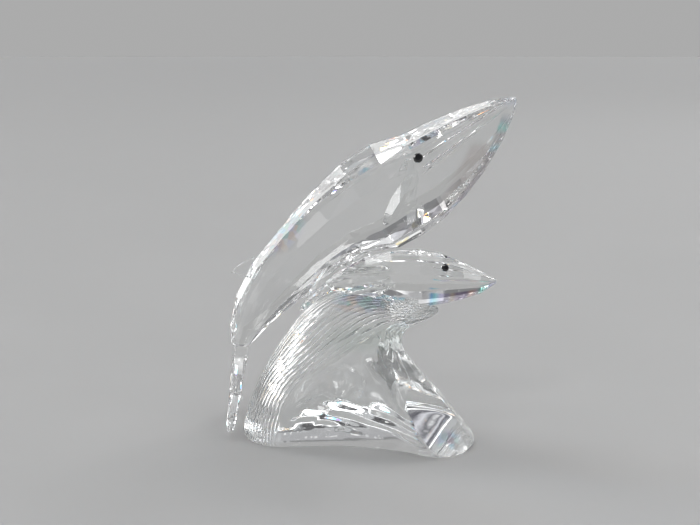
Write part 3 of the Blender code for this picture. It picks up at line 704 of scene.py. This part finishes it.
def make_floor():
    """Round pale floor, wide enough to reach the horizon from every side."""
    bm = bmesh.new()
    bmesh.ops.create_circle(bm, cap_ends=True, segments=FLOOR_SIDES, radius=FLOOR_RADIUS)
    bmesh.ops.translate(bm, verts=bm.verts, vec=(0, 0, -FLOOR_DROP))
    mesh = new_mesh("floor", bm)
    mesh.materials.append(pale_card())
    floor = bpy.data.objects.new("floor", mesh)
    bpy.context.scene.collection.objects.link(floor)


# Lamps: name, azimuth and elevation in degrees, height aimed at, width and height in metres, watts,
# and the spread of the beam in degrees
LAMPS = (
    ("key", -149.0, 62.0, 0.07, (0.26, 0.26), 4.5, 180.0),
    ("edge", -64.0, 9.0, 0.07, (0.7, 0.5), 0.092, 20.0),
    ("rim", 51.0, 41.0, 0.08, (0.4, 0.4), 6.0, 180.0),
)
LAMP_DISTANCE = 2.6


def add_lamp(name, place, target, size, watts, spread):
    """Rectangular soft lamp aimed at a point. Its beam spreads by an angle in degrees."""
    data = bpy.data.lights.new(name, "AREA")
    data.shape = "RECTANGLE"
    data.size, data.size_y = size
    data.energy = watts
    data.spread = math.radians(spread)
    lamp = bpy.data.objects.new(name, data)
    lamp.location = place
    lamp.rotation_euler = (Vector(target) - Vector(place)).to_track_quat("-Z", "Y").to_euler()
    lamp.visible_camera = False
    bpy.context.scene.collection.objects.link(lamp)


# Cards in the room: azimuth from the far side towards the right and elevation, half width and half
# height, all in degrees, then strength and whether its sides are fringed with prism colours
BRIGHT_CARDS = (
    (112.0, 33.0, 4.0, 12.0, 3.2, True),
    (121.0, 42.0, 2.5, 12.0, 3.2, True),
    (144.0, 35.0, 3.5, 13.0, 3.0, True),
    (12.0, 51.5, 13.0, 6.0, 3.6, True),
    (-62.0, 29.0, 11.0, 13.0, 4.5, True),
    (-176.0, 30.0, 5.5, 8.0, 8.0, False),
    (180.0, 53.5, 6.0, 4.0, 4.0, False),
    (43.0, 50.0, 4.0, 5.0, 9.0, False),
    (-44.0, 66.0, 9.0, 9.0, 5.0, False),
    (1.5, 19.5, 0.9, 0.9, 2.4, False),
    (9.0, 27.0, 1.0, 4.0, 1.6, False),
    (-144.0, 48.0, 5.0, 5.0, 1.0, True),
    (36.0, 34.0, 7.0, 6.0, 2.4, True),
)
DARK_CARDS = (
    (-22.0, 24.0, 13.0, 9.0, 0.2),
    (-100.0, 25.0, 16.0, 10.0, 0.15),
    (4.0, 22.0, 9.0, 6.0, 0.42),
    (-167.0, 42.0, 4.5, 4.5, 0.1),
    (127.0, 33.0, 23.0, 14.0, 0.14),
    (85.0, 28.0, 12.0, 10.0, 0.2),
)
CARD_SOFTNESS = 0.03
LEAST_DEPTH = 0.001
DARK_CARD_BLUE = 1.03
# Round lamp with a dark bowl: azimuth, elevation, radius in degrees
DISH = (-29.0, 32.0, 9.0)
DISH_STOPS = (
    (0.0, (0.9, 0.9, 0.92)), (0.2, (0.2, 0.2, 0.22)), (0.4, (0.75, 0.75, 0.8)),
    (0.56, (0.12, 0.12, 0.14)), (0.8, (0.3, 0.3, 0.32)), (0.9, (1.7, 1.7, 1.7)),
    (1.0, (1.7, 1.7, 1.7)),
)
HORIZON_TONE = 0.41
# Height at which the sweep ends and the ceiling starts, on a direction of length 1
SWEEP_RISE, SWEEP_BLEND = 0.25, 20.0
PATCH_SCALE = 4.6
# Tones of the ceiling's patches
ROOM_TONES = (
    (0.0, (0.1, 0.1, 0.105)), (0.14, (0.22, 0.22, 0.23)), (0.34, (0.36, 0.36, 0.37)),
    (0.6, (0.5, 0.51, 0.52)), (0.8, (0.8, 0.8, 0.82)), (0.9, (1.3, 1.3, 1.3)),
    (0.96, (2.2, 2.2, 2.2)),
)
# Colours across a card whose sides are fringed
FRINGE = (
    (0.0, (0.0, 0.0, 0.0)), (0.03, (0.35, 0.05, 0.5)), (0.07, (0.1, 0.35, 1.0)),
    (0.12, (0.3, 1.0, 1.0)), (0.18, (1.0, 1.0, 1.0)), (0.82, (1.0, 1.0, 1.0)),
    (0.88, (1.0, 0.85, 0.3)), (0.94, (1.0, 0.35, 0.1)), (0.98, (0.4, 0.05, 0.1)),
    (1.0, (0.0, 0.0, 0.0)),
)


def sky_point(azimuth, elevation):
    """Direction from an azimuth and an elevation in degrees."""
    azimuth, elevation = math.radians(azimuth), math.radians(elevation)
    flat = math.cos(elevation)
    return Vector((math.sin(azimuth) * flat, math.cos(azimuth) * flat, math.sin(elevation)))


def card_mask(nodes, direction, azimuth, elevation, half_width, half_height):
    """1 inside a rectangular card and 0 outside it, with the place across it from 0 to 1."""
    centre = sky_point(azimuth, elevation)
    half_width = math.tan(math.radians(half_width))
    half_height = math.tan(math.radians(half_height))
    right = centre.cross(Vector((0, 0, 1))).normalized()
    up = right.cross(centre)
    depth = nodes.vector("DOT_PRODUCT", direction, centre)
    across = nodes.vector("DOT_PRODUCT", direction, right) / depth.at_least(LEAST_DEPTH)
    height = nodes.vector("DOT_PRODUCT", direction, up) / depth.at_least(LEAST_DEPTH)
    inside = ((half_width - abs(across)) / CARD_SOFTNESS).clamped()
    inside = inside * ((half_height - abs(height)) / CARD_SOFTNESS).clamped()
    return inside * (depth > 0.0), (across / (2 * half_width) + 0.5).clamped()


def set_world():
    """Studio room: a plain sweep up to SWEEP_RISE, and a patterned ceiling with cards above it."""
    world = bpy.data.worlds.new("studio")
    bpy.context.scene.world = world
    world.use_nodes = True
    nodes = Nodes(world.node_tree)
    direction = nodes.add("ShaderNodeTexCoord")["Generated"]
    rise = nodes.parts(direction)[2]
    horizon = (HORIZON_TONE, HORIZON_TONE, HORIZON_TONE, 1.0)
    inputs = {"Vector": direction, "Scale": PATCH_SCALE}
    patches = nodes.add("ShaderNodeTexVoronoi", {"feature": "F1"}, inputs)["Color"]
    patch = nodes.add("ShaderNodeSeparateColor", {}, {"Color": patches})["Green"]
    overhead = ((rise - SWEEP_RISE) * SWEEP_BLEND).clamped()
    room = nodes.mix(overhead, horizon, nodes.ramp(patch, ROOM_TONES, "CONSTANT"))
    for *card, strength in DARK_CARDS:
        mask, _ = card_mask(nodes, direction, *card)
        dark = (strength, strength, strength * DARK_CARD_BLUE, 1.0)
        room = nodes.mix(mask * overhead, room, dark)
    for *card, strength, fringed in BRIGHT_CARDS:
        mask, across = card_mask(nodes, direction, *card)
        glow = nodes.ramp(across, FRINGE) if fringed else (1.0, 1.0, 1.0, 1.0)
        bright = nodes.mix(1.0, glow, (strength, strength, strength, 1.0), "MULTIPLY")
        room = nodes.mix(mask * overhead, room, bright)
    azimuth, elevation, radius = DISH
    off_centre = nodes.vector("DISTANCE", direction, sky_point(azimuth, elevation))
    off_centre = off_centre / math.radians(radius)
    room = nodes.mix(off_centre < 1.0, room, nodes.ramp(off_centre, DISH_STOPS))
    nodes.feed(world.node_tree.nodes["Background"].inputs["Color"], room)


CAMERA_PLACE = (0.0, -0.436, 0.171)
CAMERA_TILT = 78.0
CAMERA_LENS, CAMERA_SENSOR = 53.0, 36.0
CAMERA_NEAR = 0.01
LIGHT_BOUNCES = 24


def set_camera():
    """Camera on the calf's side, looking a little down on the figurine."""
    data = bpy.data.cameras.new("camera")
    data.sensor_width = CAMERA_SENSOR
    data.lens = CAMERA_LENS
    data.clip_start = CAMERA_NEAR
    camera = bpy.data.objects.new("camera", data)
    camera.location = CAMERA_PLACE
    camera.rotation_euler = (math.radians(CAMERA_TILT), 0.0, 0.0)
    bpy.context.scene.collection.objects.link(camera)
    bpy.context.scene.camera = camera


def set_view():
    """Plain view of colours, and enough bounces for light that is caught inside the crystal."""
    scene = bpy.context.scene
    scene.view_settings.view_transform = "Standard"
    scene.cycles.max_bounces = LIGHT_BOUNCES
    scene.cycles.glossy_bounces = LIGHT_BOUNCES
    scene.cycles.transmission_bounces = LIGHT_BOUNCES


def dress(node, material):
    """Gives a solid of the figurine its finish."""
    mesh = NODES[node].data
    mesh.materials.clear()
    mesh.materials.append(material)


set_view()
set_camera()
set_world()
make_floor()
for name, azimuth, elevation, height, size, watts, spread in LAMPS:
    place = sky_point(azimuth, elevation) * LAMP_DISTANCE
    add_lamp(name, place, (0.0, 0.0, height), size, watts, spread)

wave = make_wave()
# Wave crystal with painted prism glints on the crest and the foot, and painted shade under the
# crest
cast_crystal = polished_crystal("cast_crystal", CAST_TINT, GLINTS_ON_CREST_AND_FOOT, painted_shade_under_crest)
wave.data.materials.append(cast_crystal)
# Mother crystal with painted prism glints on her back, and painted shade and prism spots along her
# throat rim
mother_crystal = polished_crystal("mother_crystal", MOTHER_TINT, GLINTS_ON_BACK_OF_MOTHER, painted_rim_shade_and_prism)
# Calf crystal with painted prism colours and shade along its throat
calf_crystal = polished_crystal("calf_crystal", CALF_TINT, painted_light=painted_throat_prism)
fin_crystal = polished_crystal("fin_crystal", FIN_TINT)
stone = black_eye_stone()
dress("mother_body", mother_crystal)
dress("calf_body", calf_crystal)
for whale in ("mother", "calf"):
    for part in ("flukes", "dorsal_fin", "pectoral_fin_near", "pectoral_fin_far"):
        dress(f"{whale}_{part}", fin_crystal)
    for side in ("near", "far"):
        dress(f"{whale}_eye_{side}", stone)
